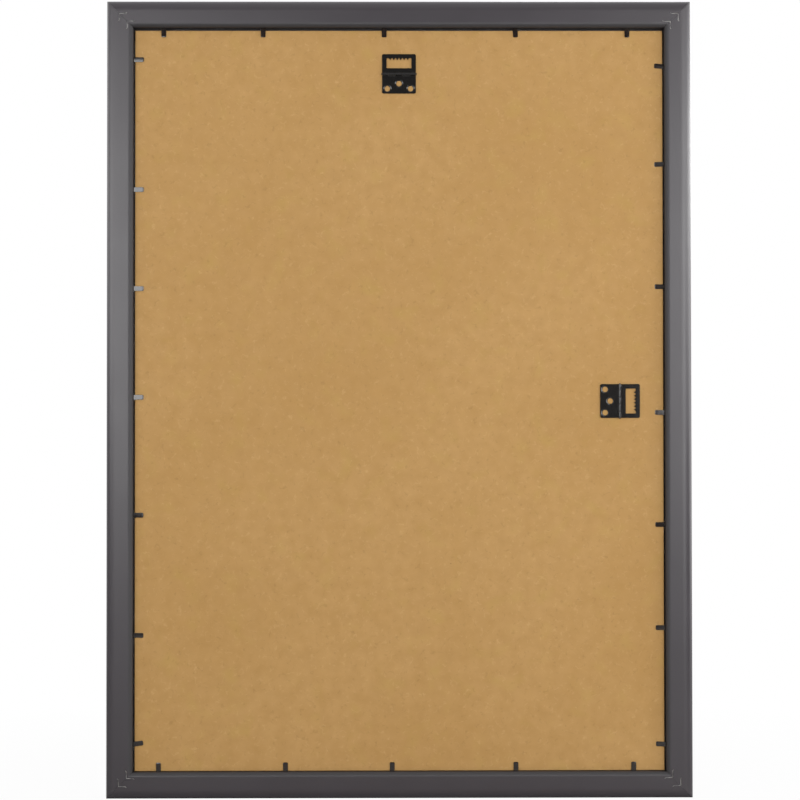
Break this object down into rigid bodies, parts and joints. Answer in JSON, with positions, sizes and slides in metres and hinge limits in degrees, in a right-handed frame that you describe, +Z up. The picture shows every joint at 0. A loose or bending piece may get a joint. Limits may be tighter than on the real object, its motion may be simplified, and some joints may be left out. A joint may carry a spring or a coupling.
{
  "type": "picture frame",
  "caption": "Upright picture frame with mitred rails, glass, backing board, bendable steel tabs that hold the sheets in, and hinged sawtooth hangers for portrait and landscape.",
  "frame": {"origin": "the middle notch of the upper hanger, where the nail bears when the picture hangs upright; the wall plane, on which the rails' backs lie, is 6.2 mm behind it", "axes": "+Z up along the upright picture, +Y out of the wall through the picture's face, +X to the right as seen from behind"},
  "size_m": [0.5526, 0.02, 0.7525],
  "materials": {
    "rail_moulding": "satin dark grey extruded moulding",
    "bare_steel": "bare strip",
    "tab_steel": "blackened strip steel",
    "hanger_steel": "black plated stamping",
    "glass": "clear float glass",
    "paper": "matte blank sheet",
    "hardboard": "smooth pressed wood fibre"
  },
  "bodies": {
    "frame": {"rail_top": "rail_moulding", "rail_bottom": "rail_moulding", "rail_left": "rail_moulding", "rail_right": "rail_moulding", "v_nail_top_left_outer": "bare_steel", "v_nail_top_left_inner": "bare_steel", "v_nail_top_right_outer": "bare_steel", "v_nail_top_right_inner": "bare_steel", "v_nail_bottom_left_outer": "bare_steel", "v_nail_bottom_left_inner": "bare_steel", "v_nail_bottom_right_outer": "bare_steel", "v_nail_bottom_right_inner": "bare_steel", "glass_pane": "glass", "picture_sheet": "paper", "backing_board": "hardboard", "upper_hanger_base": "hanger_steel", "side_hanger_base": "hanger_steel", "upper_hanger_pin": "hanger_steel", "side_hanger_pin": "hanger_steel"},
    "upper_saw_leaf": {"upper_hanger_saw_leaf": "hanger_steel"},
    "side_saw_leaf": {"side_hanger_saw_leaf": "hanger_steel"},
    "bottom_tab_1": {"tab_bottom_1": "tab_steel"},
    "bottom_tab_2": {"tab_bottom_2": "tab_steel"},
    "bottom_tab_3": {"tab_bottom_3": "tab_steel"},
    "bottom_tab_4": {"tab_bottom_4": "tab_steel"},
    "bottom_tab_5": {"tab_bottom_5": "tab_steel"},
    "right_tab_1": {"tab_right_1": "tab_steel"},
    "right_tab_2": {"tab_right_2": "tab_steel"},
    "right_tab_3": {"tab_right_3": "tab_steel"},
    "right_tab_4": {"tab_right_4": "tab_steel"},
    "right_tab_5": {"tab_right_5": "tab_steel"},
    "right_tab_6": {"tab_right_6": "tab_steel"},
    "right_tab_7": {"tab_right_7": "tab_steel"},
    "top_tab_1": {"tab_top_1": "tab_steel"},
    "top_tab_2": {"tab_top_2": "tab_steel"},
    "top_tab_3": {"tab_top_3": "tab_steel"},
    "top_tab_4": {"tab_top_4": "tab_steel"},
    "top_tab_5": {"tab_top_5": "tab_steel"},
    "left_tab_1": {"tab_left_1": "tab_steel"},
    "left_tab_2": {"tab_left_2": "tab_steel"},
    "left_tab_3": {"tab_left_3": "tab_steel"},
    "left_tab_4": {"tab_left_4": "tab_steel"},
    "left_tab_5": {"tab_left_5": "tab_steel"},
    "left_tab_6": {"tab_left_6": "tab_steel"},
    "left_tab_7": {"tab_left_7": "tab_steel"}
  },
  "joints": [
    {"name": "upper_leaf_hinge", "type": "hinge", "parent": "frame", "child": "upper_saw_leaf", "pos_m": [0, -0.00095, -0.0153], "axis": [1, 0, 0], "range_deg": [0, 175]},
    {"name": "side_leaf_hinge", "type": "hinge", "parent": "frame", "child": "side_saw_leaf", "pos_m": [0.2085, -0.00095, -0.3253], "axis": [0, 0, -1], "range_deg": [0, 175]},
    {"name": "bottom_tab_1_bend", "type": "hinge", "parent": "frame", "child": "bottom_tab_1", "pos_m": [-0.22725, 0.00005, -0.6735], "axis": [1, 0, 0], "range_deg": [0, 90], "deforming": ["tab_bottom_1"]},
    {"name": "bottom_tab_2_bend", "type": "hinge", "parent": "frame", "child": "bottom_tab_2", "pos_m": [-0.10762, 0.00005, -0.6735], "axis": [1, 0, 0], "range_deg": [0, 90], "deforming": ["tab_bottom_2"]},
    {"name": "bottom_tab_3_bend", "type": "hinge", "parent": "frame", "child": "bottom_tab_3", "pos_m": [-0.007, 0.00005, -0.6735], "axis": [1, 0, 0], "range_deg": [0, 90], "deforming": ["tab_bottom_3"]},
    {"name": "bottom_tab_4_bend", "type": "hinge", "parent": "frame", "child": "bottom_tab_4", "pos_m": [0.10963, 0.00005, -0.6735], "axis": [1, 0, 0], "range_deg": [0, 90], "deforming": ["tab_bottom_4"]},
    {"name": "bottom_tab_5_bend", "type": "hinge", "parent": "frame", "child": "bottom_tab_5", "pos_m": [0.22075, 0.00005, -0.6735], "axis": [1, 0, 0], "range_deg": [0, 90], "deforming": ["tab_bottom_5"]},
    {"name": "right_tab_1_bend", "type": "hinge", "parent": "frame", "child": "right_tab_1", "pos_m": [0.25065, 0.00005, -0.6491], "axis": [0, 0, 1], "range_deg": [0, 90], "deforming": ["tab_right_1"]},
    {"name": "right_tab_2_bend", "type": "hinge", "parent": "frame", "child": "right_tab_2", "pos_m": [0.25065, 0.00005, -0.53935], "axis": [0, 0, 1], "range_deg": [0, 90], "deforming": ["tab_right_2"]},
    {"name": "right_tab_3_bend", "type": "hinge", "parent": "frame", "child": "right_tab_3", "pos_m": [0.25065, 0.00005, -0.4421], "axis": [0, 0, 1], "range_deg": [0, 90], "deforming": ["tab_right_3"]},
    {"name": "right_tab_4_bend", "type": "hinge", "parent": "frame", "child": "right_tab_4", "pos_m": [0.25065, 0.00005, -0.33635], "axis": [0, 0, 1], "range_deg": [0, 90], "deforming": ["tab_right_4"]},
    {"name": "right_tab_5_bend", "type": "hinge", "parent": "frame", "child": "right_tab_5", "pos_m": [0.25065, 0.00005, -0.2171], "axis": [0, 0, 1], "range_deg": [0, 90], "deforming": ["tab_right_5"]},
    {"name": "right_tab_6_bend", "type": "hinge", "parent": "frame", "child": "right_tab_6", "pos_m": [0.25065, 0.00005, -0.10085], "axis": [0, 0, 1], "range_deg": [0, 90], "deforming": ["tab_right_6"]},
    {"name": "right_tab_7_bend", "type": "hinge", "parent": "frame", "child": "right_tab_7", "pos_m": [0.25065, 0.00005, -0.0081], "axis": [0, 0, 1], "range_deg": [0, 90], "deforming": ["tab_right_7"]},
    {"name": "top_tab_1_bend", "type": "hinge", "parent": "frame", "child": "top_tab_1", "pos_m": [0.21625, 0.00005, 0.0278], "axis": [-1, 0, 0], "range_deg": [0, 90], "deforming": ["tab_top_1"]},
    {"name": "top_tab_2_bend", "type": "hinge", "parent": "frame", "child": "top_tab_2", "pos_m": [0.11013, 0.00005, 0.0278], "axis": [-1, 0, 0], "range_deg": [0, 90], "deforming": ["tab_top_2"]},
    {"name": "top_tab_3_bend", "type": "hinge", "parent": "frame", "child": "top_tab_3", "pos_m": [-0.014, 0.00005, 0.0278], "axis": [-1, 0, 0], "range_deg": [0, 90], "deforming": ["tab_top_3"]},
    {"name": "top_tab_4_bend", "type": "hinge", "parent": "frame", "child": "top_tab_4", "pos_m": [-0.12862, 0.00005, 0.0278], "axis": [-1, 0, 0], "range_deg": [0, 90], "deforming": ["tab_top_4"]},
    {"name": "top_tab_5_bend", "type": "hinge", "parent": "frame", "child": "top_tab_5", "pos_m": [-0.22275, 0.00005, 0.0278], "axis": [-1, 0, 0], "range_deg": [0, 90], "deforming": ["tab_top_5"]},
    {"name": "left_tab_1_bend", "type": "hinge", "parent": "frame", "child": "left_tab_1", "pos_m": [-0.25065, 0.00005, -0.0016], "axis": [0, 0, -1], "range_deg": [0, 90], "deforming": ["tab_left_1"]},
    {"name": "left_tab_2_bend", "type": "hinge", "parent": "frame", "child": "left_tab_2", "pos_m": [-0.25065, 0.00005, -0.12485], "axis": [0, 0, -1], "range_deg": [0, 90], "deforming": ["tab_left_2"]},
    {"name": "left_tab_3_bend", "type": "hinge", "parent": "frame", "child": "left_tab_3", "pos_m": [-0.25065, 0.00005, -0.2186], "axis": [0, 0, -1], "range_deg": [0, 90], "deforming": ["tab_left_3"]},
    {"name": "left_tab_4_bend", "type": "hinge", "parent": "frame", "child": "left_tab_4", "pos_m": [-0.25065, 0.00005, -0.32135], "axis": [0, 0, -1], "range_deg": [0, 90], "deforming": ["tab_left_4"]},
    {"name": "left_tab_5_bend", "type": "hinge", "parent": "frame", "child": "left_tab_5", "pos_m": [-0.25065, 0.00005, -0.4326], "axis": [0, 0, -1], "range_deg": [0, 90], "deforming": ["tab_left_5"]},
    {"name": "left_tab_6_bend", "type": "hinge", "parent": "frame", "child": "left_tab_6", "pos_m": [-0.25065, 0.00005, -0.54585], "axis": [0, 0, -1], "range_deg": [0, 90], "deforming": ["tab_left_6"]},
    {"name": "left_tab_7_bend", "type": "hinge", "parent": "frame", "child": "left_tab_7", "pos_m": [-0.25065, 0.00005, -0.6481], "axis": [0, 0, -1], "range_deg": [0, 90], "deforming": ["tab_left_7"]}
  ]
}
